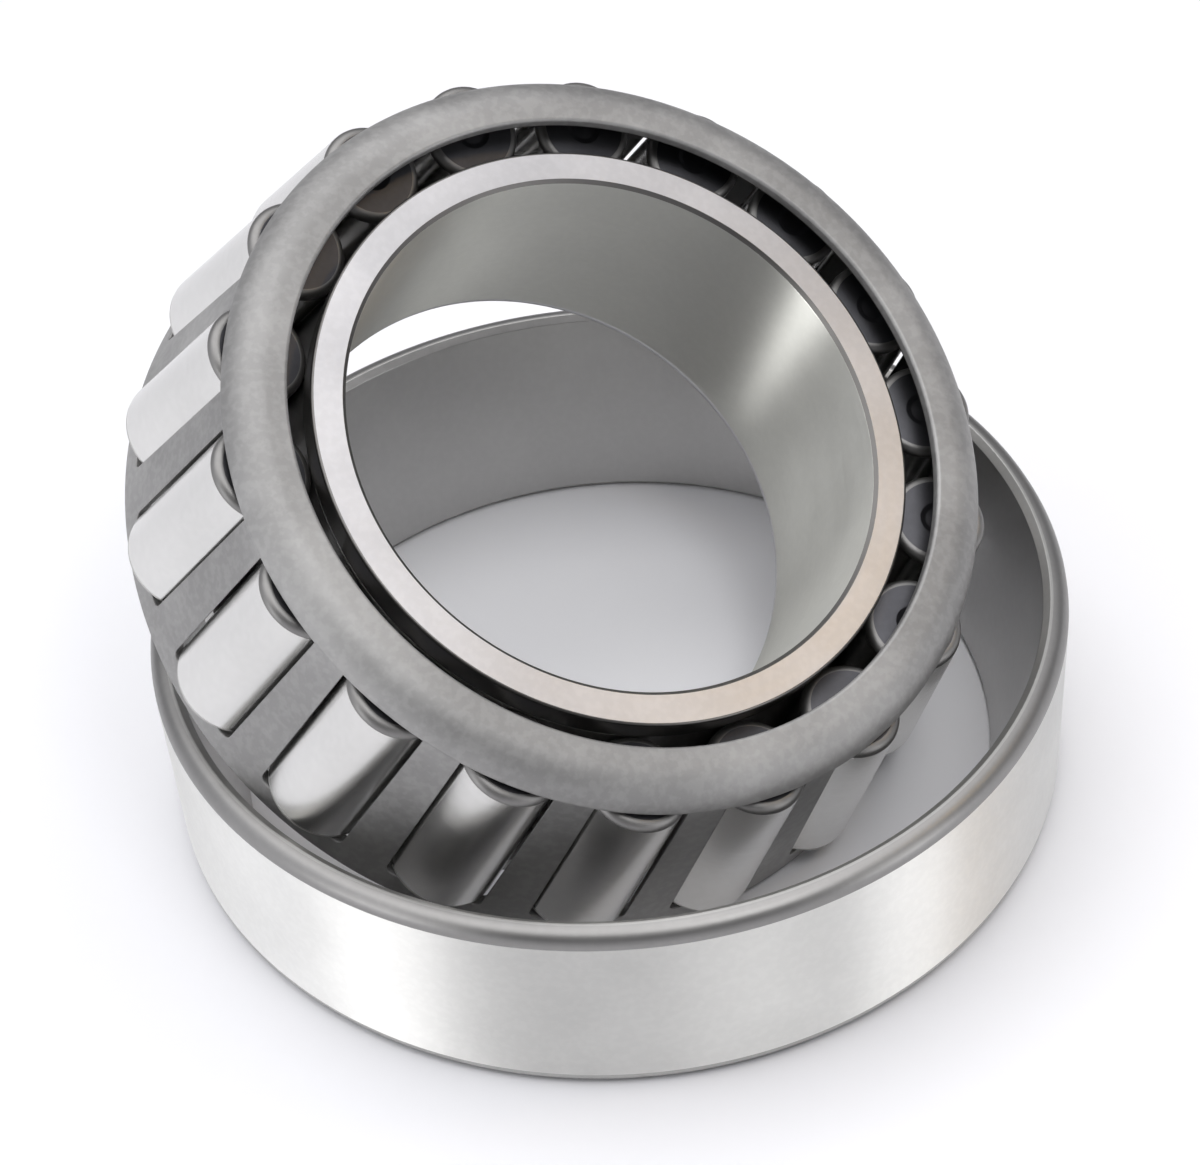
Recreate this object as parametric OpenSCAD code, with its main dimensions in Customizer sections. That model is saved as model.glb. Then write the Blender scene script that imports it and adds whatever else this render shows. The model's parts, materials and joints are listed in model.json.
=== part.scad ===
// Tapered roller bearing, taken apart the way it is sold and greased: the outer
// ring lies on its back face, and the inner ring with its cage and rollers leans
// in its mouth, small end up.
//
// The origin is the centre of the outer ring's back face, +Z up along its axis.
// The inner assembly is drawn in a frame of its own, whose origin is the centre
// of the inner ring's back face and whose +Z runs to the small end.

/* [Rings] */
// Diameter of the shaft bore
bore_d = 73; // [40:0.5:120]
// Width of the inner ring
cone_w = 36.5; // [28:0.5:60]
// Width of the outer ring
cup_w = 29.5; // [20:0.5:50]
// Angle between the outer ring's raceway and its axis
cup_angle = 12.5; // [10:0.5:18]
// Wall of the inner ring under the small end of its raceway
cone_wall = 4.2; // [3:0.1:12]
// Wall of the outer ring beside the wide end of its raceway
cup_wall = 3.4; // [3:0.1:12]
// Corner radius of the outer ring's outside edges
cup_corner = 2.2; // [0.5:0.1:2.5]
// Chamfer at both ends of the outer ring's raceway
cup_inner_chamfer = 0.8; // [0.2:0.1:0.8]

/* [Ribs] */
// Width of the rib that guides the rollers' large ends, at its root
large_rib_w = 3.9; // [2.5:0.1:8]
// Height of that rib over the raceway
large_rib_h = 4.6; // [2:0.1:6]
// Width of the rib that holds the rollers' small ends, at its root
small_rib_w = 4.1; // [2:0.1:8]
// Height of that rib over the raceway
small_rib_h = 0.5; // [0.4:0.1:1.5]
// Depth of the relief groove at each end of the inner raceway
groove_depth = 0.5; // [0.2:0.1:1]
// Width of that groove
groove_w = 1.2; // [0.6:0.1:2]
// Chamfer of the bore at the small end
bore_chamfer = 0.5; // [0.3:0.1:2]
// Corner radius of the bore at the large end
bore_corner = 2.5; // [0.5:0.1:3]
// Corner radius of the two ribs' outside edges
rib_corner = 0.4; // [0.2:0.1:1.2]

/* [Rollers] */
// Number of rollers
roller_n = 18; // [14:1:24]
// Gap between neighbouring rollers at their small ends
roller_gap = 3.0; // [2.6:0.1:4]
// Corner radius at both ends of a roller
roller_corner = 1.2; // [0.4:0.1:1.6]
// Gap between each end of a roller and the rib it faces
end_play = 0.35; // [0.2:0.05:0.6]
// Gap between the rollers and a raceway
race_gap = 0.2; // [0.1:0.05:0.4]

/* [Cage] */
// Thickness of the pressed steel sheet
cage_t = 1.9; // [1.2:0.1:2.2]
// Depth of the sheet's outside under the tops of the rollers
cage_drop = 2.6; // [2.2:0.1:3]
// Bend radius of the outside where the sheet turns in at the small end
cage_bend = 5.5; // [4:0.1:6]
// How far the ring at the small end stands out past the bars between the pockets
cage_step = 1.3; // [0.4:0.1:1.5]
// How far the cage stands out past the inner ring's small face
cage_proud = 2.4; // [1:0.1:4]
// Distance from the inner ring's back face to the cage's wide edge
cage_foot = 2.5; // [0.5:0.1:4]
// Gap between the small rib and the cage's inner edge
cage_rib_gap = 3.5; // [1:0.1:5]
// Ledge of the bars between the pockets' ends and the step
cage_ledge = 0.2; // [0.1:0.05:1]
// Gap between a roller's side and its pocket
pocket_side = 0.5; // [0.3:0.05:0.8]
// Gap between a roller's end and its pocket
pocket_end = 0.5; // [0.3:0.05:1]

/* [Pose] */
// Lean of the inner assembly's axis from upright
lean_tilt = 32.2; // [15:0.1:40]
// Direction that its small end leans to, round from +X
lean_az = -47.2; // [-180:0.1:180]
// How far behind the outer ring's axis the rollers cross its rim
seat_back = 1.4; // [0:0.1:3]
// Gap over the floor under the inner assembly's lowest edge
floor_gap = 0.4; // [0.3:0.1:2]
// Gap between the rollers and the outer ring's rim
rim_gap = 0.45; // [0.3:0.05:2]
// Turn of the cage about its axis, from the direction of the lean to the first roller
cage_turn = 2.1; // [0:0.1:20]

/* [Hidden] */
function roller_name(i) = str("roller_", i < 10 ? "0" : "", i);

$fn = 180;
arc_steps = 6;

// Points of an arc about (cx, cy)
function arc(cx, cy, r, from, to) =
    [for (i = [0:arc_steps]) let (a = from + (to - from) * i / arc_steps)
        [cx + r * cos(a), cy + r * sin(a)]];

// The rollers and both raceways are cones that share one tip on the bearing's
// axis. The rollers' half angle follows from how many have to fit round the ring.
bore_r = bore_d / 2;
race_small_r = bore_r + cone_wall;
half_step = 180 / roller_n;
function half_angle(a, turns) =
    turns == 0 ? a : half_angle(asin(
        cos(a) * sin(cup_angle - a) * sin(half_step)
        - roller_gap / 2 / race_small_r * sin(cup_angle - 2 * a)), turns - 1);
roller_angle = half_angle(1.5, 12);
axis_angle = cup_angle - roller_angle;
cone_angle = cup_angle - 2 * roller_angle;
tip_z = cone_w - small_rib_w + race_small_r / tan(cone_angle);

// Distances from the tip along a roller's own axis
small_rib_at = race_small_r / sin(cone_angle) * cos(roller_angle);
large_rib_at = (tip_z - large_rib_w) / cos(cone_angle) * cos(roller_angle);
roller_from = small_rib_at + end_play;
roller_to = large_rib_at - end_play;
function roller_r(along) = along * tan(roller_angle);

// Top of a roller's large end
crown_r = roller_to * sin(axis_angle) + roller_r(roller_to) * cos(axis_angle);
crown_z = tip_z - roller_to * cos(axis_angle) + roller_r(roller_to) * sin(axis_angle);

// Surfaces of revolution about the inner assembly's axis
function top_r(z) = (tip_z - z) * tan(cup_angle);
function race_r(z) = (tip_z - z) * tan(cone_angle) - race_gap / cos(cone_angle);
function cage_r(z) = top_r(z) - cage_drop / cos(cup_angle);
large_rib_r = race_r(large_rib_w) + large_rib_h;
small_rib_r = race_small_r + small_rib_h;
rib_lean = tan(axis_angle);

// The outer ring's rim closes flush with the tops of the rollers' large ends
cup_rim_r = crown_r + race_gap / cos(cup_angle);
cup_back_r = cup_rim_r - cup_w * tan(cup_angle);
cup_r = cup_rim_r + cup_wall;

// The inner assembly is set down until its cage reaches the floor or its rollers
// meet the rim, whichever comes first.
edge_r = cage_r(cage_foot);
rim_free_r = cup_rim_r - rim_gap;
meet_sq = (pow(rim_free_r, 2) - pow(seat_back, 2)) / pow(crown_r, 2);
meet = max(sqrt(max(0, 1 - meet_sq)), sin(lean_tilt) * tan(cup_angle) * cup_rim_r / crown_r);
cone_z = max(
    floor_gap + edge_r * sin(lean_tilt) - cage_foot * cos(lean_tilt),
    floor_gap + large_rib_r * sin(lean_tilt),
    cup_w + crown_r * sin(lean_tilt) * meet - crown_z * cos(lean_tilt));
meet_cos = (cone_z + crown_z * cos(lean_tilt) - cup_w) / (crown_r * sin(lean_tilt));
cone_out = -seat_back - crown_r * cos(lean_tilt) * meet_cos - crown_z * sin(lean_tilt);

// Puts a shape from the inner assembly's frame where it leans
module leaning() {
    translate([cone_out * cos(lean_az), cone_out * sin(lean_az), cone_z])
        rotate([0, lean_tilt, lean_az])
            children();
}

// Puts a shape drawn along +Z from the tip onto the axis of roller i
module on_roller(i) {
    translate([0, 0, tip_z])
        rotate([0, 180 - axis_angle, cage_turn + (i - 1) * 2 * half_step])
            children();
}

module outer_ring() {
    profile = concat(
        [[cup_back_r + cup_inner_chamfer, 0]],
        arc(cup_r - cup_corner, cup_corner, cup_corner, -90, 0),
        arc(cup_r - cup_corner, cup_w - cup_corner, cup_corner, 0, 90),
        [[cup_rim_r + cup_inner_chamfer, cup_w],
         [cup_rim_r - cup_inner_chamfer * tan(cup_angle), cup_w - cup_inner_chamfer],
         [cup_back_r + cup_inner_chamfer * tan(cup_angle), cup_inner_chamfer]]);
    color("silver")
        rotate_extrude()
            polygon(profile);
}

module inner_ring() {
    large_root = [race_r(large_rib_w), large_rib_w];
    small_root = [race_small_r, cone_w - small_rib_w];
    groove = [groove_depth, groove_w];
    profile = concat(
        arc(bore_r + bore_corner, bore_corner, bore_corner, 180, 270),
        arc(large_rib_r - rib_corner, rib_corner, rib_corner, -90, 0),
        [[large_rib_r, large_rib_w + large_rib_h * rib_lean],
         [large_root[0] - groove[0], large_root[1]],
         [large_root[0] - groove[0], large_root[1] + groove[1]],
         [race_r(large_root[1] + groove[1]), large_root[1] + groove[1]],
         [race_r(small_root[1] - groove[1]), small_root[1] - groove[1]],
         [small_root[0] - groove[0], small_root[1] - groove[1]],
         [small_root[0] - groove[0], small_root[1]],
         [small_rib_r, small_root[1] + small_rib_h * rib_lean]],
        arc(small_rib_r - rib_corner, cone_w - rib_corner, rib_corner, 0, 90),
        [[bore_r + bore_chamfer, cone_w],
         [bore_r, cone_w - bore_chamfer]]);
    color("lightgray")
        leaning()
            rotate_extrude()
                polygon(profile);
}

// Section of the pressed cage before its pockets are cut. The bars end at a step
// just past the pockets, where the sheet jogs out into the ring and then bends in.
module cage_section() {
    top_z = cone_w + cage_proud;
    bend_z = top_z - cage_bend;
    pocket_top = tip_z - (roller_from - pocket_end + cage_drop * sin(axis_angle) / cos(cup_angle))
        / (tan(cup_angle) * sin(axis_angle) + cos(axis_angle));
    step_z = pocket_top + cage_step * rib_lean + cage_ledge;
    step_angle = asin((step_z - bend_z) / cage_bend);
    bend_r = cage_r(step_z) + cage_step - cage_bend * cos(step_angle);
    lip_r = small_rib_r + cage_rib_gap;
    sheet_r = cage_t / cos(cup_angle);
    lip = cage_t / 4;
    polygon(concat(
        [[cage_r(cage_foot) - sheet_r, cage_foot],
         [cage_r(cage_foot) - lip, cage_foot],
         [cage_r(cage_foot + lip), cage_foot + lip],
         [cage_r(step_z), step_z]],
        arc(bend_r, bend_z, cage_bend, step_angle, 90),
        [[lip_r + lip, top_z],
         [lip_r, top_z - lip],
         [lip_r, top_z - cage_t]],
        arc(bend_r, bend_z, cage_bend - cage_t, 90, 2 * step_angle),
        [[cage_r(step_z) - sheet_r, step_z]]));
}

module pocket() {
    from = roller_from - pocket_end;
    to = roller_to + pocket_end;
    translate([0, 0, from])
        cylinder(h = to - from, r1 = roller_r(from) + pocket_side, r2 = roller_r(to) + pocket_side);
}

module cage() {
    color("gray")
        leaning()
            difference() {
                rotate_extrude()
                    cage_section();
                for (i = [1:roller_n])
                    on_roller(i)
                        pocket();
            }
}

module roller(i) {
    c = roller_corner;
    color("gainsboro")
        leaning()
            on_roller(i)
                rotate_extrude($fn = 96)
                    polygon(concat(
                        [[0, roller_from]],
                        arc(roller_r(roller_from + c) - c, roller_from + c, c, -90, 0),
                        arc(roller_r(roller_to - c) - c, roller_to - c, c, 0, 90),
                        [[0, roller_to]]));
}

outer_ring();
inner_ring();
cage();
for (i = [1:roller_n])
    roller(i);
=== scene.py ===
# %% [markdown]
# # A tapered roller bearing, taken apart
# The outer ring lies on a white table, and the inner ring leans in its mouth with its cage
# and eighteen rollers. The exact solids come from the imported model. Everything made here
# is built around them, in metres and in the same frame, so nothing has to be fitted.

# %% Load the exact model
import json
import math
import bmesh
import bpy
from mathutils import Matrix, Vector


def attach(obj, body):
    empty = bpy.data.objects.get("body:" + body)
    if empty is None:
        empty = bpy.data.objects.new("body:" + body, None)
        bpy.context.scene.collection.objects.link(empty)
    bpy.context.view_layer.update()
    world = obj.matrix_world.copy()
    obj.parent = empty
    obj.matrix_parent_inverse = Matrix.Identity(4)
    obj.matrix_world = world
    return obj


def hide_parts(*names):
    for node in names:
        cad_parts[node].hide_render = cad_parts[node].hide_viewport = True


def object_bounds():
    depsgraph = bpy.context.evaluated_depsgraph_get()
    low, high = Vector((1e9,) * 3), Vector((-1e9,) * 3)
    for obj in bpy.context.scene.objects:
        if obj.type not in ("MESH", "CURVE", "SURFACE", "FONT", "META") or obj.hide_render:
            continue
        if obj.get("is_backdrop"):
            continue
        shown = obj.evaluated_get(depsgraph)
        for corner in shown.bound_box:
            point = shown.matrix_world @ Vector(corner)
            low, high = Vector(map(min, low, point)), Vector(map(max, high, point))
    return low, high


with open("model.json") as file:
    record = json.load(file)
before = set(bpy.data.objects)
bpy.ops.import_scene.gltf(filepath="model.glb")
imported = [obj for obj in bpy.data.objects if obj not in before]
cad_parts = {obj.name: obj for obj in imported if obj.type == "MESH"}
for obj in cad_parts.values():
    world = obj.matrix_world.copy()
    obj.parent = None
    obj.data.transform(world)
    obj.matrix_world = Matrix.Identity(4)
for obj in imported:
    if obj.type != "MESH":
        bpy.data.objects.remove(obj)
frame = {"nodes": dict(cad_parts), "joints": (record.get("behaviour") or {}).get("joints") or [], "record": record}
cad_low, cad_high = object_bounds()
joints = {joint["name"]: joint for joint in frame["joints"]}
mounts = {mount["name"]: mount for mount in frame["record"]["mounts"]}
print("loaded", len(frame["nodes"]), "solids, height", round(cad_high.z * 1000, 2), "mm")

# %% [markdown]
# ## Camera
# A long lens from a little under 50 degrees above the table shows the bore and the rollers
# together. A camera could be aimed with a Track To constraint, but a matrix made of its
# right, up and back directions also holds the small roll of a camera held by hand.

# %% Set up the camera
CAMERA_FROM = Vector((0, -0.28314, 0.29550))
CAMERA_RIGHT = Vector((0.9968, -0.0533, -0.0597))
CAMERA_UP = Vector((0.0800, 0.6825, 0.7265))
camera_data = bpy.data.cameras.new("camera")
camera_data.lens = 83.94
camera_data.clip_start = 0.01
camera = bpy.data.objects.new("camera", camera_data)
bpy.context.scene.collection.objects.link(camera)
back = CAMERA_RIGHT.cross(CAMERA_UP).normalized()
up = back.cross(CAMERA_RIGHT).normalized()
turn = Matrix((CAMERA_RIGHT.normalized(), up, back)).transposed()
camera.matrix_world = Matrix.Translation(CAMERA_FROM) @ turn.to_4x4()
bpy.context.scene.camera = camera
print("camera looks along", [round(x, 3) for x in -back])

# %% [markdown]
# ## Shader maths
# A finish is a graph of nodes. Clicking them together is easy to read for five nodes and
# hard for thirty, so here one small class wraps a socket, and Python's own operators add
# the Math nodes. Everything else comes from one method, node().

# %% Wrap a socket so that Python can do sums with it
class Wire:
    """An output socket of a node tree that can be used in a Python expression."""

    def __init__(self, socket):
        self.socket = socket

    @staticmethod
    def node(tree, kind, settings=None, inputs=None, out=0):
        """Adds a node, sets its settings, fills or links its inputs, and wraps one output."""
        made = tree.nodes.new(kind)
        for name, value in (settings or {}).items():
            setattr(made, name, value)
        for name, value in (inputs or {}).items():
            if isinstance(value, Wire):
                tree.links.new(value.socket, made.inputs[name])
            else:
                made.inputs[name].default_value = value
        return Wire(made.outputs[out]) if len(made.outputs) else made

    def math(self, operation, *values):
        numbered = dict(enumerate(values))
        return Wire.node(self.socket.id_data, "ShaderNodeMath", {"operation": operation}, numbered)

    def __add__(self, other):
        return self.math("ADD", self, other)

    def __sub__(self, other):
        return self.math("SUBTRACT", self, other)

    def __rsub__(self, other):
        return self.math("SUBTRACT", other, self)

    def __mul__(self, other):
        return self.math("MULTIPLY", self, other)

    def __pow__(self, other):
        return self.math("POWER", self, other)

    __radd__, __rmul__ = __add__, __mul__

    def between(self, low, high):
        """0 under low, 1 over high and smooth between."""
        return Wire.node(
            self.socket.id_data, "ShaderNodeMapRange", {"interpolation_type": "SMOOTHSTEP"},
            {"Value": self, "From Min": low, "From Max": high})


print("sockets can be added, taken away, multiplied and raised to a power")

# %% [markdown]
# ## Table
# Polished steel has almost no colour of its own: it shows what stands around it. So the
# studio comes before the steel. The table is one big white plane. It is far wider than
# the bearing, so that no edge of it shows in a reflection, and it lies a hair under the
# outer ring, because two faces in the same place would flicker.

# %% Lay the table
TABLE_WIDE, TABLE_GAP = 30, 0.00005
bpy.ops.mesh.primitive_plane_add(size=TABLE_WIDE, location=(0, 0, -TABLE_GAP))
table = bpy.context.object
table.name = "table"
table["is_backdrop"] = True
white = bpy.data.materials.new("white_table")
white.use_nodes = True
paint = white.node_tree.nodes["Principled BSDF"]
paint.inputs["Base Color"].default_value = (0.90, 0.90, 0.925, 1)
paint.inputs["Roughness"].default_value = 0.55
table.data.materials.append(white)
print("table is", table.dimensions.x, "m wide")

# %% [markdown]
# ## Light tent
# The sky of the scene is a light tent. It has a bright wall on the left, low bright walls
# on the right and in front, and a bright ceiling. A dark opening in front, at middle
# height, gives the steel its dark streaks. What the camera itself sees of the tent is
# plain and pale. A picture of a studio could be wrapped round the scene, but a few sums on
# the direction are lighter and easier to change.

# %% Light the tent
DIM, LEFT, RIGHT, CEILING, FRONT = 0.17, 0.80, 0.85, 0.68, 0.42
LEFT_FADES, OPENING_SHADE, SEEN_TONE = 0.6, 0.88, 0.70
world = bpy.data.worlds.new("light_tent")
world.use_nodes = True
bpy.context.scene.world = world
tree = world.node_tree
tree.nodes.clear()
direction = Wire.node(tree, "ShaderNodeTexCoord")
split = Wire.node(tree, "ShaderNodeSeparateXYZ", {}, {"Vector": direction}).socket.node.outputs
right, away, height = (Wire(socket) for socket in split)
left_wall = (0 - right).between(0.30, 0.95) * (1 - LEFT_FADES * away.between(0.05, 0.5))
right_wall = right.between(0.45, 0.95) * (1 - height.between(0.05, 0.40))
ceiling = height.between(0.35, 0.85)
front = (0 - away).between(0.0, 0.65)
opening = front * height.between(0.12, 0.40) * (1 - height.between(0.75, 1.0))
walls = DIM + LEFT * left_wall + RIGHT * right_wall + CEILING * ceiling
tone = walls * (1 - OPENING_SHADE * opening)
tone = tone + FRONT * front * (1 - height.between(0.12, 0.40))
seen = Wire.node(tree, "ShaderNodeLightPath", out="Is Camera Ray")
tone = tone * (1 - seen) + seen * SEEN_TONE
sky = Wire.node(
    tree, "ShaderNodeBackground", {}, {"Color": (0.95, 0.96, 1.0, 1), "Strength": tone})
Wire.node(tree, "ShaderNodeOutputWorld", {}, {"Surface": sky})
bpy.context.scene.view_settings.view_transform = "Standard"
print("the left wall is", round(DIM + LEFT, 2), "bright, the right", round(DIM + RIGHT, 2))

# %% [markdown]
# ## Soft lamps
# Area lamps draw the highlights that the tent is too soft for. A wide one overhead whitens
# the table and drops a soft shadow. Narrow upright strips in front leave the bright bands
# on the outer ring and the rollers, and a small warm card tints the inner ring's face.
# Sun or point lamps would leave hard edges that a studio doesn't have.

# %% Hang the soft lamps
def soft_lamp(name, place, aim, width, tall, watts, colour=(1.0, 1.0, 1.0)):
    """A rectangular lamp that faces the point aim. Places and sizes are in metres."""
    data = bpy.data.lights.new(name, "AREA")
    data.shape, data.size, data.size_y = "RECTANGLE", width, tall
    data.energy, data.color = watts, colour
    lamp = bpy.data.objects.new(name, data)
    bpy.context.scene.collection.objects.link(lamp)
    lamp.location = place
    lamp.rotation_euler = (Vector(aim) - Vector(place)).to_track_quat("-Z", "Y").to_euler()
    return lamp


BARREL = (0, 0, 0.03)
soft_lamp("overhead_lamp", (-0.45, 0.45, 2.82), (-0.45, 0.45, 0), 3.9, 3.9, 70.0,
          (1.0, 0.99, 0.98))
left_strip = soft_lamp("left_strip", (-0.47, -0.37, 0.20), BARREL, 0.26, 0.4, 0.62)
right_strip = soft_lamp("right_strip", (0.51, -0.32, 0.20), BARREL, 0.22, 0.4, 0.5)
soft_lamp("bore_lamp", (0.26, -0.36, 0.86), (0, 0, 0), 0.25, 0.25, 0.8)
soft_lamp("warm_card", (0.55, 0.01, 0.59), (0.03, -0.02, 0.04), 0.09, 0.09, 0.13,
          (1.0, 0.60, 0.14))
bore_strip = soft_lamp("bore_strip", (-0.46, -0.39, 0.20), BARREL, 0.06, 0.4, 2.4)

# %% [markdown]
# ## Light that spares the table
# A lamp that stands low lights the table on one side only, and leaves an edge of light
# there. Light linking names what a lamp may light: a collection that is marked as left out
# takes the table away from the strips, and the steel keeps their bands.

# %% Keep the strips off the table
spared = bpy.data.collections.new("not_lit_by_the_strips")
spared.objects.link(table)
for strip in (left_strip, right_strip):
    strip.light_linking.receiver_collection = spared
spared.collection_objects[0].light_linking.link_state = "EXCLUDE"

# %% [markdown]
# ## Steel finishes
# Every piece is the same hard chrome steel, and only its last operation differs. Seats and
# end faces are ground, so they carry fine lines that run round the ring. Raceways are
# honed and rollers are tumbled smooth. The cage is pressed from sheet and tumbled, which
# leaves it grey and mottled. An image of brushed metal would stretch over the curves, so
# the lines are noise, read in the piece's own frame: slow round the axis, and fast along
# it and outward.

# %% Write one recipe for all the steel
PATCHES, SPECKS, LINE_TURNS = 55.0, 900.0, 40
OUTWARD_SHARE, PATCH_SHARE, SPECK_SHARE = 0.83, 0.7, 0.3
PATCH_ROUGHNESS, FINE_ROUGHNESS, QUARTER_TURN = 0.10, 0.12, 0.25


def steel(name, colour, roughness, line_depth, lines_per_mm, stain, anisotropy, grain=0.0):
    """Steel whose grinding lines run round the piece's own Z axis.

    line_depth and grain are depths in metres, and stain is how much darker its patches are.
    """
    material = bpy.data.materials.new(name)
    material.use_nodes = True
    tree = material.node_tree
    surface = tree.nodes["Principled BSDF"]
    place = Wire.node(tree, "ShaderNodeTexCoord", out="Object")
    axes = Wire.node(tree, "ShaderNodeSeparateXYZ", {}, {"Vector": place}).socket.node.outputs
    x, y, z = (Wire(socket) for socket in axes)
    outward = (x * x + y * y) ** 0.5
    run = (outward * OUTWARD_SHARE + z) * (1000 * lines_per_mm)
    line_place = Wire.node(
        tree, "ShaderNodeCombineXYZ", {}, {"X": x * LINE_TURNS, "Y": y * LINE_TURNS, "Z": run})
    lines = Wire.node(
        tree, "ShaderNodeTexNoise", {}, {"Vector": line_place, "Scale": 1.0, "Detail": 3.0})
    cloud = Wire.node(
        tree, "ShaderNodeTexNoise", {}, {"Vector": place, "Scale": PATCHES, "Detail": 4.0})
    mottle = Wire.node(
        tree, "ShaderNodeTexNoise", {}, {"Vector": place, "Scale": SPECKS, "Detail": 3.0})
    dark = [c * (1 - stain) for c in colour]
    patch = cloud.between(0.35, 0.70) * PATCH_SHARE + mottle.between(0.4, 0.65) * SPECK_SHARE
    tint = Wire.node(
        tree, "ShaderNodeMix", {"data_type": "RGBA"},
        {0: patch, 6: (*dark, 1), 7: (*colour, 1)}, out=2)
    tree.links.new(tint.socket, surface.inputs["Base Color"])
    surface.inputs["Metallic"].default_value = 1.0
    surface.inputs["Anisotropic"].default_value = anisotropy
    surface.inputs["Anisotropic Rotation"].default_value = QUARTER_TURN
    fine = lines if line_depth else mottle
    rough = roughness + (cloud - 0.5) * PATCH_ROUGHNESS + (fine - 0.5) * FINE_ROUGHNESS
    tree.links.new(rough.socket, surface.inputs["Roughness"])
    relief = lines * line_depth + mottle * grain
    bump = Wire.node(
        tree, "ShaderNodeBump", {}, {"Height": relief, "Strength": 1.0, "Distance": 1.0})
    tree.links.new(bump.socket, surface.inputs["Normal"])
    return material


# %% [markdown]
# ## The finishes
# The same recipe gives them all. Seats and the bore are brushed the most, so they have the
# strongest anisotropy: it draws a highlight out into a streak across the grinding lines.
# Ribs, roller ends, the rollers' small corners and the cage's inside are darker as painted
# shade: their colours stand for the shade in the narrow gaps and inside the bearing. The
# outer ring's rounded corner is only given a darker colour than its land, so it shows as a band.

# %% Mix the finishes
# colour, roughness, line depth, lines per mm, stain, anisotropy and grain
RECIPES = {
    "ground": ((0.92, 0.915, 0.895), 0.58, 1.2e-6, 6, 0.08, 1.0),
    "turned": ((0.52, 0.515, 0.50), 0.42, 2.0e-6, 4, 0.12, 0.5),
    "land": ((0.40, 0.395, 0.385), 0.44, 1.4e-6, 6, 0.10, 0.4),
    "cup_corner": ((0.30, 0.295, 0.29), 0.40, 1.4e-6, 6, 0.10, 0.4),
    # painted shade: this dark colour, used on the rollers' small-end corners, stands for the shade under the cage
    # ring
    "corner": ((0.26, 0.255, 0.25), 0.46, 1.0e-6, 5, 0.12, 0.2),
    # painted shade: the rib's near-black colour stands for the shade in the gap by the cage
    "rib": ((0.16, 0.155, 0.15), 0.35, 2.0e-6, 4, 0.10, 0.4),
    "face": ((0.61, 0.605, 0.62), 0.36, 1.2e-6, 7, 0.14, 0.05),
    "raceway": ((0.52, 0.515, 0.51), 0.32, 0.6e-6, 9, 0.08, 0.6),
    "bore": ((0.54, 0.54, 0.51), 0.42, 1.2e-6, 6, 0.08, 1.0),
    "roller": ((0.71, 0.705, 0.69), 0.21, 0.1e-6, 4, 0.08, 0.4),
    # painted shade: the roller ends' near-black colour stands for the shade in the gaps between rib, roller and
    # cage
    "end": ((0.11, 0.11, 0.12), 0.42, 1.5e-6, 5, 0.15, 0.2),
    "cage": ((0.45, 0.445, 0.44), 0.62, 0.0, 3, 0.32, 0.0, 9e-6),
    # painted shade: the cage's inside is near black for the shade within the bearing
    "inside": ((0.09, 0.088, 0.086), 0.50, 0.0, 3, 0.20, 0.0, 6e-6),
}
MATERIAL_NAMES = {
    "ground": "ground_steel", "turned": "turned_steel", "land": "ground_land_steel",
    "cup_corner": "turned_cup_corner_steel", "corner": "tumbled_corner_steel",
    "rib": "dark_rib_steel", "face": "lapped_face_steel", "raceway": "honed_raceway_steel",
    "bore": "ground_bore_steel", "roller": "superfinished_roller_steel",
    "end": "dark_roller_end_steel", "cage": "tumbled_cage_steel", "inside": "cage_inside_steel",
}
finishes = {key: steel(MATERIAL_NAMES[key], *recipe) for key, recipe in RECIPES.items()}
print("finishes:", ", ".join(finishes))

# %% [markdown]
# ## Turning a ring
# A ring is a section spun round an axis. Blender's Screw modifier can spin one, but here
# the section's corners get true radii first, so that every edge catches the light as a
# ground edge does, and each stretch of the section keeps the name of its finish.

# %% Round the corners of a section
def rounded(corners, steps=5):
    """(radius, height, corner radius, finish) for each corner, in mm, to a list of points.

    The finish is that of the stretch from this corner to the next, and of the corner
    itself unless a fifth value names another.
    """
    points = []
    for i, (r, z, bend, finish, *own) in enumerate(corners):
        here = Vector((r, z))
        before = Vector(corners[i - 1][:2]) - here
        after = Vector(corners[(i + 1) % len(corners)][:2]) - here
        if not bend:
            points.append((r, z, finish))
            continue
        before.normalize()
        after.normalize()
        half = before.angle(after) / 2
        centre = here + (before + after).normalized() * (bend / math.sin(half))
        start = here + before * (bend / math.tan(half)) - centre
        end = here + after * (bend / math.tan(half)) - centre
        sweep = start.angle_signed(end)
        for k in range(steps + 1):
            arm = start.copy()
            arm.rotate(Matrix.Rotation(-sweep * k / steps, 2))
            look = own[0] if own and k < steps else finish
            points.append((centre.x + arm.x, centre.y + arm.y, look))
    return points


test = rounded([(1, 0, 0, ""), (3, 0, 0.5, ""), (3, 2, 0.5, ""), (1, 2, 0, "")])
print("a rounded test section runs from", test[0][:2], "by", [round(x, 3) for x in test[1][:2]])


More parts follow.
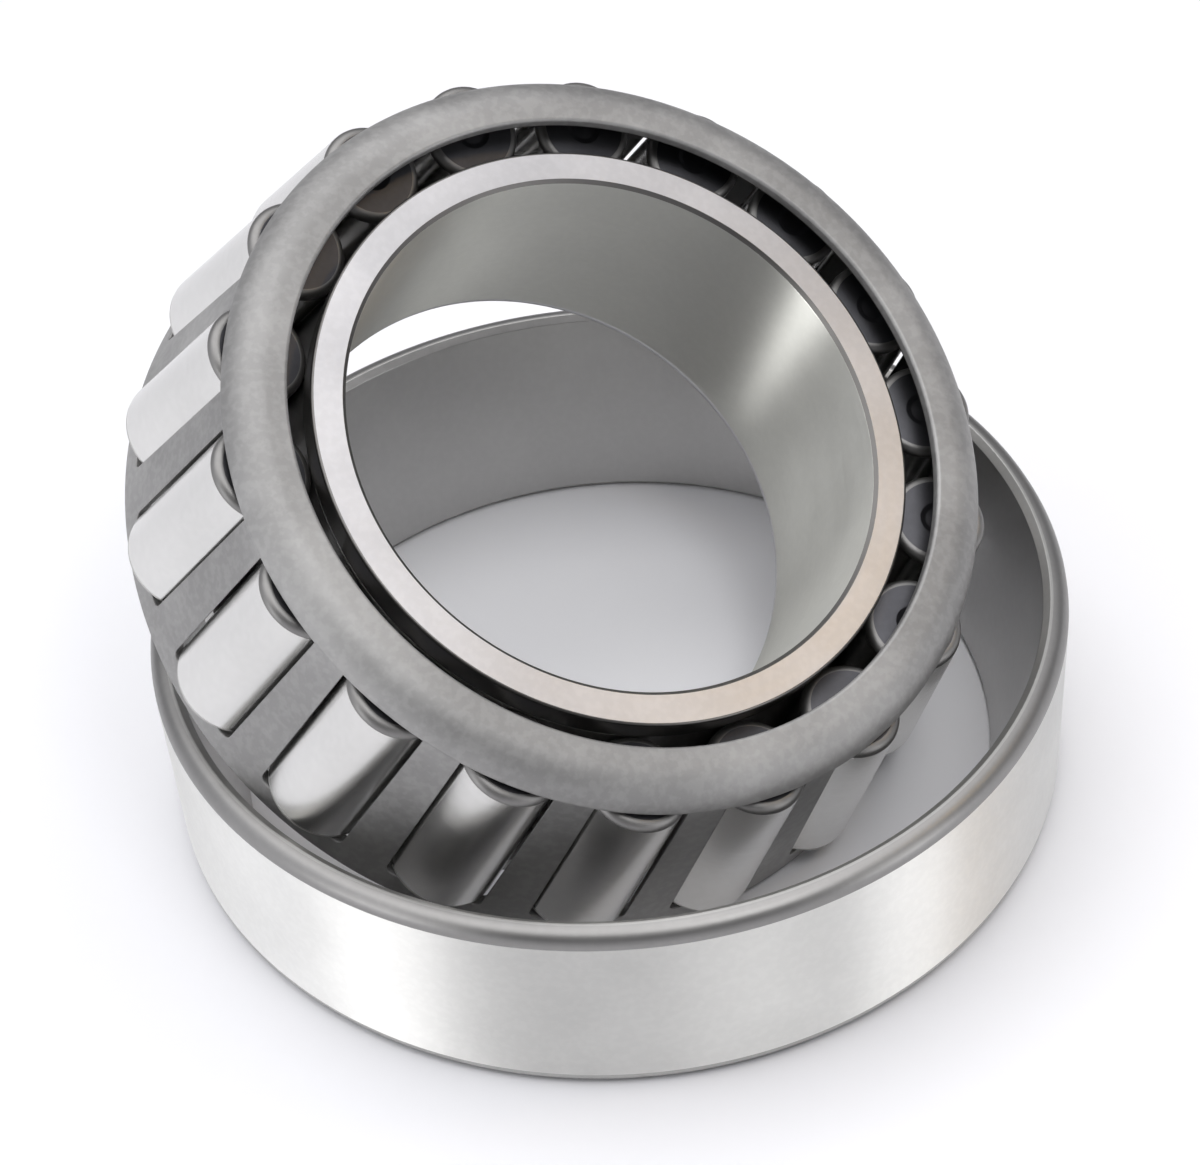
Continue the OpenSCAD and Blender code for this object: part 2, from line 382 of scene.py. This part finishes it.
# %% Spin a section into a mesh
def turned(name, points, sectors, place):
    """Spins a closed or axis-to-axis section round Z, and puts it at the matrix place."""
    mesh = bpy.data.meshes.new(name)
    work = bmesh.new()
    names = list(dict.fromkeys(finish for _, _, finish in points))
    turns = [2 * math.pi * k / sectors for k in range(sectors)]
    rings = [[work.verts.new((r / 1000 * math.cos(a), r / 1000 * math.sin(a), z / 1000))
              for a in turns] for r, z, _ in points]
    open_section = points[0][0] == 0
    for i in range(len(points) - 1 if open_section else len(points)):
        low, high = rings[i], rings[(i + 1) % len(points)]
        for k in range(sectors):
            n = (k + 1) % sectors
            face = work.faces.new((low[k], low[n], high[n], high[k]))
            face.material_index = names.index(points[i][2])
            face.smooth = True
    bmesh.ops.remove_doubles(work, verts=work.verts, dist=1e-7)
    bmesh.ops.recalc_face_normals(work, faces=work.faces)
    work.to_mesh(mesh)
    work.free()
    for finish in names:
        mesh.materials.append(finishes[finish])
    made = bpy.data.objects.new(name, mesh)
    bpy.context.scene.collection.objects.link(made)
    made.matrix_world = place
    made.modifiers.new("even_normals", "WEIGHTED_NORMAL")
    print(name, "has", len(mesh.polygons), "faces,", len(names), "finishes")
    return made


def stands_for(piece, node, body):
    """Puts a piece in the place of an exact solid: it moves as that did, and the solid is hidden."""
    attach(piece, body)
    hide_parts(node)


# %% [markdown]
# ## One tip for all the cones
# A tapered bearing rolls without rubbing only if both raceways and every roller are cones
# that share one tip on the bearing's axis. So a few sizes are enough: the rollers' angle
# follows from how many of them fit round the ring, and their ends follow from the ribs.
# Each round of the loop brings the angle closer to one that leaves the right gap.

# %% Give the bearing's main sizes in mm
BORE_R = mounts["shaft_bore"]["dims"]["r_mm"]
CUP_R = mounts["outer_seat"]["dims"]["r_mm"]
CUP_W, CONE_W = 29.5, 36.5
CUP_ANGLE = math.radians(12.5)
LARGE_RIB_W, LARGE_RIB_H = 3.9, 4.6
SMALL_RIB_W, SMALL_RIB_H = 4.1, 0.5
CONE_WALL, ROLLER_GAP, RACE_GAP, END_PLAY = 4.2, 3.0, 0.2, 0.35
ROLLER_N = len([node for node in frame["nodes"] if node.startswith("roller")])
print("outside diameter", round(2 * CUP_R, 2), "mm, bore", 2 * BORE_R, "mm")

# %% Work out the cones
SMALL_ROOT_R = BORE_R + CONE_WALL
ROLLER_ANGLE = math.radians(1.5)
for _ in range(12):
    ROLLER_ANGLE = math.asin(
        math.cos(ROLLER_ANGLE) * math.sin(CUP_ANGLE - ROLLER_ANGLE) * math.sin(math.pi / ROLLER_N)
        - ROLLER_GAP / 2 / SMALL_ROOT_R * math.sin(CUP_ANGLE - 2 * ROLLER_ANGLE))
AXIS_ANGLE = CUP_ANGLE - ROLLER_ANGLE
CONE_ANGLE = CUP_ANGLE - 2 * ROLLER_ANGLE
TIP = CONE_W - SMALL_RIB_W + SMALL_ROOT_R / math.tan(CONE_ANGLE)
ROLLER_FROM = SMALL_ROOT_R / math.sin(CONE_ANGLE) * math.cos(ROLLER_ANGLE) + END_PLAY
ROLLER_TO = (TIP - LARGE_RIB_W) / math.cos(CONE_ANGLE) * math.cos(ROLLER_ANGLE) - END_PLAY
print("a roller tapers by", round(math.degrees(ROLLER_ANGLE), 4), "degrees a side")
print("it is", round(ROLLER_TO - ROLLER_FROM, 2), "mm long, and the tip is", round(TIP), "mm up")


def roller_r(along):
    return along * math.tan(ROLLER_ANGLE)


# %% [markdown]
# ## Outer ring
# The outer ring is a plain band with a tapered raceway inside. It lies on its thick end
# with the wide mouth up. Its outside corners have a large radius, so that the ring
# can be pressed into a housing, and both ends of the raceway have a small chamfer.

# %% Turn the outer ring
CROWN_R = ROLLER_TO * math.sin(AXIS_ANGLE) + roller_r(ROLLER_TO) * math.cos(AXIS_ANGLE)
RIM_R = CROWN_R + RACE_GAP / math.cos(CUP_ANGLE)
BACK_R = RIM_R - CUP_W * math.tan(CUP_ANGLE)
CUP_CORNER, CUP_CHAMFER, CUP_EDGE, BACK_EDGE = 2.2, 0.8, 0.25, 0.3
RING_SECTORS = 256
chamfer_in = CUP_CHAMFER * math.tan(CUP_ANGLE)
cup = turned("outer_ring_turned", rounded([
    (BACK_R + CUP_CHAMFER, 0, BACK_EDGE, "face"),
    (CUP_R, 0, CUP_CORNER, "ground", "turned"),
    (CUP_R, CUP_W, CUP_CORNER, "land", "cup_corner"),
    (RIM_R + CUP_CHAMFER, CUP_W, CUP_EDGE, "turned"),
    (RIM_R - chamfer_in, CUP_W - CUP_CHAMFER, CUP_EDGE, "raceway"),
    (BACK_R + chamfer_in, CUP_CHAMFER, CUP_EDGE, "turned"),
]), RING_SECTORS, Matrix.Identity(4))
stands_for(cup, "outer_ring", "outer_ring")

# %% [markdown]
# ## Inner ring
# The inner ring has its own frame: origin in its wide end face, Z towards its small end.
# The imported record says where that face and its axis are, so the lean comes from there.
# Two ribs stand over the raceway and keep the rollers in, each with a relief groove for
# the grinding wheel at its foot. The ring turned here stays upright in its own mesh, and
# its object leans, because brushed steel draws its streaks round the object's own Z axis.

# %% Find the leaning frame
lean_axis = Vector(mounts["inner_small_face"]["axis"]).normalized()
lean_y = Vector((0, 0, 1)).cross(lean_axis).normalized()
lean_x = lean_y.cross(lean_axis)
back_face = Matrix.Translation(Vector(mounts["inner_back_face"]["pos_m"]))
leaning = back_face @ Matrix((lean_x, lean_y, lean_axis)).transposed().to_4x4()
shortest_turn = Vector((0, 0, 1)).rotation_difference(lean_axis).to_matrix().to_4x4()
inner_place = back_face @ shortest_turn
print("the inner ring leans", round(math.degrees(lean_axis.angle((0, 0, 1))), 2), "degrees")


# %% Turn the inner ring
def race_r(z):
    return (TIP - z) * math.tan(CONE_ANGLE) - RACE_GAP / math.cos(CONE_ANGLE)


GROOVE_DEPTH, GROOVE_W, GROOVE_EDGE, RIB_ROOT = 0.5, 1.2, 0.15, 0.2
BORE_CORNER, BORE_CHAMFER, BORE_EDGE, RIB_CORNER = 2.5, 0.5, 0.12, 0.4
SMALL_RIB_Z = CONE_W - SMALL_RIB_W
LARGE_RIB_R = race_r(LARGE_RIB_W) + LARGE_RIB_H
SMALL_RIB_R = SMALL_ROOT_R + SMALL_RIB_H
RACE_LOW, RACE_HIGH = LARGE_RIB_W + GROOVE_W, SMALL_RIB_Z - GROOVE_W
rib_lean = math.tan(AXIS_ANGLE)
cone = turned("inner_ring_turned", rounded([
    (BORE_R, 0, BORE_CORNER, "face"),
    (LARGE_RIB_R, 0, RIB_CORNER, "turned"),
    (LARGE_RIB_R, LARGE_RIB_W + LARGE_RIB_H * rib_lean, RIB_CORNER, "raceway"),
    (race_r(LARGE_RIB_W) - GROOVE_DEPTH, LARGE_RIB_W, RIB_ROOT, "turned"),
    (race_r(LARGE_RIB_W) - GROOVE_DEPTH, RACE_LOW, GROOVE_EDGE, "turned"),
    (race_r(RACE_LOW), RACE_LOW, GROOVE_EDGE, "raceway"),
    (race_r(RACE_HIGH), RACE_HIGH, GROOVE_EDGE, "turned"),
    (SMALL_ROOT_R - GROOVE_DEPTH, RACE_HIGH, GROOVE_EDGE, "turned"),
    (SMALL_ROOT_R - GROOVE_DEPTH, SMALL_RIB_Z, GROOVE_EDGE, "turned"),
    # painted shade: the small rib's top and the chamfer by the bore take the dark rib colour
    (SMALL_RIB_R, SMALL_RIB_Z + SMALL_RIB_H * rib_lean, GROOVE_EDGE, "rib"),
    (SMALL_RIB_R, CONE_W, RIB_CORNER, "face", "rib"),
    (BORE_R + BORE_CHAMFER, CONE_W, BORE_EDGE, "rib"),
    (BORE_R, CONE_W - BORE_CHAMFER, BORE_EDGE, "bore"),
]), RING_SECTORS, inner_place)
stands_for(cone, "inner_ring", "inner_ring")

# %% [markdown]
# ## The streak in the bore
# The ground bore shows one bright streak along its length. A narrow, strong strip makes it,
# and the same strip would burn out the rollers and the outer ring. So light linking is used
# the other way round here: the strip lights what its collection holds and nothing else.

# %% Let one strip light the inner ring alone
bore_lit = bpy.data.collections.new("lit_by_the_bore_strip")
bore_lit.objects.link(cone)
bore_strip.light_linking.receiver_collection = bore_lit

# %% [markdown]
# ## Rollers
# Each roller is a slender cone with rounded ends, and a shallow dimple in each end face
# where a lathe centre or a forming punch touched it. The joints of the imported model
# say where each roller's axis and middle lie, so one section serves all of them.

# %% Draw a roller's section
ROLLER_CORNER, ROLLER_SECTORS = 1.2, 96
WIDE_DIMPLE_R, WIDE_FLOOR_R, WIDE_DIMPLE_DEPTH = 3.0, 2.2, 0.35
SMALL_DIMPLE_R, SMALL_FLOOR_R, SMALL_DIMPLE_DEPTH = 2.4, 1.7, 0.3
DIMPLE_EDGE, DIMPLE_FOOT = 0.4, 0.6
wide_z = (ROLLER_FROM - ROLLER_TO) / 2
small_z = -wide_z
# painted shade: the end faces and their dimples take the dark end colour, which stands for the shade at the
# rollers' ends
roller_section = rounded([
    (0, wide_z + WIDE_DIMPLE_DEPTH, 0, "end"),
    (WIDE_FLOOR_R, wide_z + WIDE_DIMPLE_DEPTH, DIMPLE_FOOT, "end"),
    (WIDE_DIMPLE_R, wide_z, DIMPLE_EDGE, "roller"),
    (roller_r(ROLLER_TO), wide_z, ROLLER_CORNER, "roller", "turned"),
    # painted shade: the small-end corner takes the dark corner colour
    (roller_r(ROLLER_FROM), small_z, ROLLER_CORNER, "end", "corner"),
    (SMALL_DIMPLE_R, small_z, DIMPLE_EDGE, "end"),
    (SMALL_FLOOR_R, small_z - SMALL_DIMPLE_DEPTH, DIMPLE_FOOT, "end"),
    (0, small_z - SMALL_DIMPLE_DEPTH, 0, "end"),
])
print("a roller is", round(2 * roller_r(ROLLER_TO), 2), "mm across at its wide end")

# %% Turn the rollers
for number in range(1, ROLLER_N + 1):
    node = f"roller_{number:02d}"
    joint = joints[node + "_spin"]
    lie = Vector(joint["axis"]).to_track_quat("Z", "Y").to_matrix().to_4x4()
    place = Matrix.Translation(Vector(joint["pos_m"])) @ lie
    roller = turned(node + "_turned", roller_section, ROLLER_SECTORS, place)
    stands_for(roller, node, node)

# %% [markdown]
# ## Cage
# The cage starts as a flat steel blank. It is drawn into a tapered cup, its bottom is
# punched out to leave a lip, and one pocket is punched through for each roller. Cutting
# pockets with a Boolean leaves ragged faces, so each pocket is laid out as rings of
# quads: they follow its outline at several depths, and round both edges.

# %% Lay out the sheet's section
SHEET, FOOT, PROUD, DROP = 1.9, 2.5, 2.4, 2.6
BEND, STEP, LEDGE, LIP_GAP = 5.5, 1.3, 0.2, 3.5
TOP = CONE_W + PROUD
LIP_R = SMALL_RIB_R + LIP_GAP
POCKET_SIDE, POCKET_END, POCKET_CORNER, EDGE = 0.5, 0.5, 1.1, 0.25


def sheet_r(z):
    return (TIP - z) * math.tan(CUP_ANGLE) - DROP / math.cos(CUP_ANGLE)


def sheet_point(along, depth):
    """(radius, height) of a point, from the wide edge along the sheet and under its outside."""
    z = FOOT + along * math.cos(CUP_ANGLE)
    return sheet_r(z) - depth * math.cos(CUP_ANGLE), z - depth * math.sin(CUP_ANGLE)


def where_reach(reach):
    """Height at which a plane across a roller, this far from the tip, meets the outside."""
    lean = math.tan(CUP_ANGLE) * math.sin(AXIS_ANGLE) + math.cos(AXIS_ANGLE)
    return TIP - (reach + DROP * math.sin(AXIS_ANGLE) / math.cos(CUP_ANGLE)) / lean


BEND_Z = TOP - BEND
STEP_Z = where_reach(ROLLER_FROM - POCKET_END) + STEP * math.tan(AXIS_ANGLE) + LEDGE
STEP_ANGLE = math.asin((STEP_Z - BEND_Z) / BEND)
BEND_R = sheet_r(STEP_Z) + STEP - BEND * math.cos(STEP_ANGLE)
print("the ring at the small end starts", round(STEP_Z, 2), "mm up")

# %% Measure a pocket
HALF_PITCH, HALVINGS = math.pi / ROLLER_N, 40


def pocket_half(along, depth):
    """Half the pocket's width in mm: where the roller's own cone, grown, cuts the sheet."""
    r, z = sheet_point(along, depth)
    low, high = 0.0, HALF_PITCH
    for _ in range(HALVINGS):
        middle_angle = (low + high) / 2
        reach = r * math.cos(middle_angle) * math.sin(AXIS_ANGLE)
        reach += (TIP - z) * math.cos(AXIS_ANGLE)
        aside = math.sqrt(r * r + (TIP - z) ** 2 - reach * reach)
        if aside < reach * math.tan(ROLLER_ANGLE) + POCKET_SIDE:
            low = middle_angle
        else:
            high = middle_angle
    return r * low


WIDE_END = (where_reach(ROLLER_TO + POCKET_END) - FOOT) / math.cos(CUP_ANGLE)
SMALL_END = (where_reach(ROLLER_FROM - POCKET_END) - FOOT) / math.cos(CUP_ANGLE)
print("a pocket runs from", round(WIDE_END, 2), "to", round(SMALL_END, 2), "mm along the sheet")


# %% Trace a pocket's outline
def pocket_loop(grow, depth, arc=4, run=8):
    """Points (angle from the pocket's middle, distance along the sheet), once round."""
    corner = POCKET_CORNER + grow
    low, high = WIDE_END - grow, SMALL_END + grow

    def half(along):
        return pocket_half(along, depth) + grow

    ends = {low: half(low + corner) - corner, high: half(high - corner) - corner}
    loop = []

    def sweep(side, end, start):
        inside = end + corner if end == low else end - corner
        for k in range(arc):
            a = math.radians(start + 45 * k / arc)
            loop.append((side * ends[end] + corner * math.cos(a), inside + corner * math.sin(a)))

    sweep(-1, low, 225)
    loop.extend((-ends[low] + 2 * ends[low] * k / run, low) for k in range(run))
    sweep(1, low, 270)
    sweep(1, low, 315)
    stretch = high - low - 2 * corner
    climb = [low + corner + stretch * k / run for k in range(run + 1)]
    loop.extend((half(along), along) for along in climb[:run])
    sweep(1, high, 0)
    sweep(1, high, 45)
    loop.extend((ends[high] - 2 * ends[high] * k / run, high) for k in range(run))
    sweep(-1, high, 90)
    sweep(-1, high, 135)
    loop.extend((-half(along), along) for along in climb[:0:-1])
    sweep(-1, low, 180)
    return [(aside / sheet_point(along, depth)[0], along) for aside, along in loop]


print("a pocket's outline has", len(pocket_loop(0, 0)), "points")

# %% [markdown]
# ## Sheet round a pocket
# Each pocket has a share of the sheet round it, a frame with straight sides. When the frame
# has as many points as the pocket's outline, rows of quads join the two one to one. The
# frames of neighbouring pockets share their sides, so together they close the ring.

# %% Outline a pocket's share of the sheet
UNDER_POCKET, OVER_POCKET = 1.2, 0.02
FRAME_LOW, FRAME_HIGH = WIDE_END - UNDER_POCKET, SMALL_END + EDGE + OVER_POCKET
SIDE_STEPS = len(pocket_loop(0, 0)) // 4


def frame_loop():
    """The outline of one pocket's share of the sheet, with as many points as the pocket."""
    corners = [(-HALF_PITCH, FRAME_LOW), (HALF_PITCH, FRAME_LOW),
               (HALF_PITCH, FRAME_HIGH), (-HALF_PITCH, FRAME_HIGH)]
    loop = []
    for (a, along), (next_a, next_along) in zip(corners, corners[1:] + corners[:1]):
        for k in range(SIDE_STEPS):
            share = k / SIDE_STEPS
            loop.append((a + (next_a - a) * share, along + (next_along - along) * share))
    return loop


print("a side of the frame has", SIDE_STEPS, "steps")


# %% Draw the rings at both ends of the cage
def bend_points(radius, start, end, finish, steps=10):
    turns = [start + (end - start) * k / steps for k in range(steps + 1)]
    return [(BEND_R + radius * math.cos(a), BEND_Z + radius * math.sin(a), 0, finish)
            for a in turns]


STEP_FOOT, STEP_EDGE, LIP_EDGE, WIDE_EDGE = 0.08, 0.2, 0.5, 0.4
ring_low = (BEND_R + BEND * math.cos(STEP_ANGLE), STEP_Z)
small_ring = rounded([
    (*sheet_point(FRAME_HIGH, 0), 0, "cage"),
    (sheet_r(STEP_Z), STEP_Z, STEP_FOOT, "cage"),
    (*ring_low, STEP_EDGE, "cage"),
    *bend_points(BEND, STEP_ANGLE * 1.3, math.pi / 2, "cage"),
    (LIP_R, TOP, LIP_EDGE, "cage"),
    (LIP_R, TOP - SHEET, LIP_EDGE, "inside"),
    *bend_points(BEND - SHEET, math.pi / 2, 2 * STEP_ANGLE, "inside"),
    (*sheet_point((STEP_Z - FOOT) / math.cos(CUP_ANGLE), SHEET), 0, "inside"),
    (*sheet_point(FRAME_HIGH, SHEET), 0, "inside"),
])
wide_ring = rounded([
    (*sheet_point(FRAME_LOW, SHEET), 0, "inside"),
    (*sheet_point(0, SHEET), WIDE_EDGE, "cage"),
    (*sheet_point(0, 0), WIDE_EDGE, "cage"),
    (*sheet_point(FRAME_LOW, 0), 0, "cage"),
])
print("the rings' sections have", len(small_ring), "and", len(wide_ring), "points")

# %% [markdown]
# ## Pressing the cage together
# Every pocket's edge is rounded by three loops on each face of the sheet: one on the face,
# one down in the hole, and one between them. The sheet round the pockets and the two rings
# are then joined where their points meet. The mesh is moved to where it leans, and the
# object stays at the origin, so that the box round it is a tight one.

# %% Build the cage
CAGE_TURN, WELD = math.radians(2.1), 2e-6
# painted shade: the second finish, inside, paints the cage's inner face near black for the shade within the
# bearing
CAGE_FINISHES = ["cage", "inside"]
work = bmesh.new()


def vertex(angle, r, z):
    return work.verts.new((r / 1000 * math.cos(angle), r / 1000 * math.sin(angle), z / 1000))


def bridge(first, second, finish):
    for k in range(len(first)):
        n = (k + 1) % len(first)
        face = work.faces.new((first[k], first[n], second[n], second[k]))
        face.smooth = True
        face.material_index = CAGE_FINISHES.index(finish)


MITRE = 1 - math.sqrt(0.5)
loops = [(EDGE, 0), (EDGE * MITRE, EDGE * MITRE), (0, EDGE)]
levels = loops + [(grow, SHEET - depth) for grow, depth in reversed(loops)]
outlines = [(pocket_loop(grow, depth), depth) for grow, depth in levels]
outlines = [(frame_loop(), 0)] + outlines + [(frame_loop(), SHEET)]
for number in range(ROLLER_N):
    middle_angle = CAGE_TURN + number * 2 * HALF_PITCH
    rows = [[vertex(middle_angle + a, *sheet_point(along, depth)) for a, along in outline]
            for outline, depth in outlines]
    for k in range(len(rows) - 1):
        bridge(rows[k], rows[k + 1], "cage" if k < len(rows) - 2 else "inside")
columns = ROLLER_N * SIDE_STEPS
for section in (small_ring, wide_ring):
    rows = [[vertex(CAGE_TURN + HALF_PITCH + 2 * math.pi * k / columns, r, z)
             for k in range(columns)] for r, z, _ in section]
    for k in range(len(rows) - 1):
        bridge(rows[k], rows[k + 1], section[k][2])
bmesh.ops.remove_doubles(work, verts=work.verts, dist=WELD)
bmesh.ops.recalc_face_normals(work, faces=work.faces)
open_edges = sum(1 for edge in work.edges if len(edge.link_faces) != 2)
cage_mesh = bpy.data.meshes.new("cage_pressed")
work.to_mesh(cage_mesh)
work.free()
cage_mesh.transform(leaning)
for finish in CAGE_FINISHES:
    cage_mesh.materials.append(finishes[finish])
cage = bpy.data.objects.new("cage_pressed", cage_mesh)
bpy.context.scene.collection.objects.link(cage)
cage.modifiers.new("even_normals", "WEIGHTED_NORMAL")
stands_for(cage, "cage", "cage")
print("the cage has", len(cage_mesh.polygons), "faces and", open_edges, "open edges")

# %% [markdown]
# ## Compare the boxes
# The box round the model seen here is set beside the exact one's, and the last line prints
# how much it has grown, in mm.

# %% Finish
now_low, now_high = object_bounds()
growth = [round((b - a) * 1000, 2) for a, b in zip(cad_high - cad_low, now_high - now_low)]
print("the box has grown by", growth, "mm")
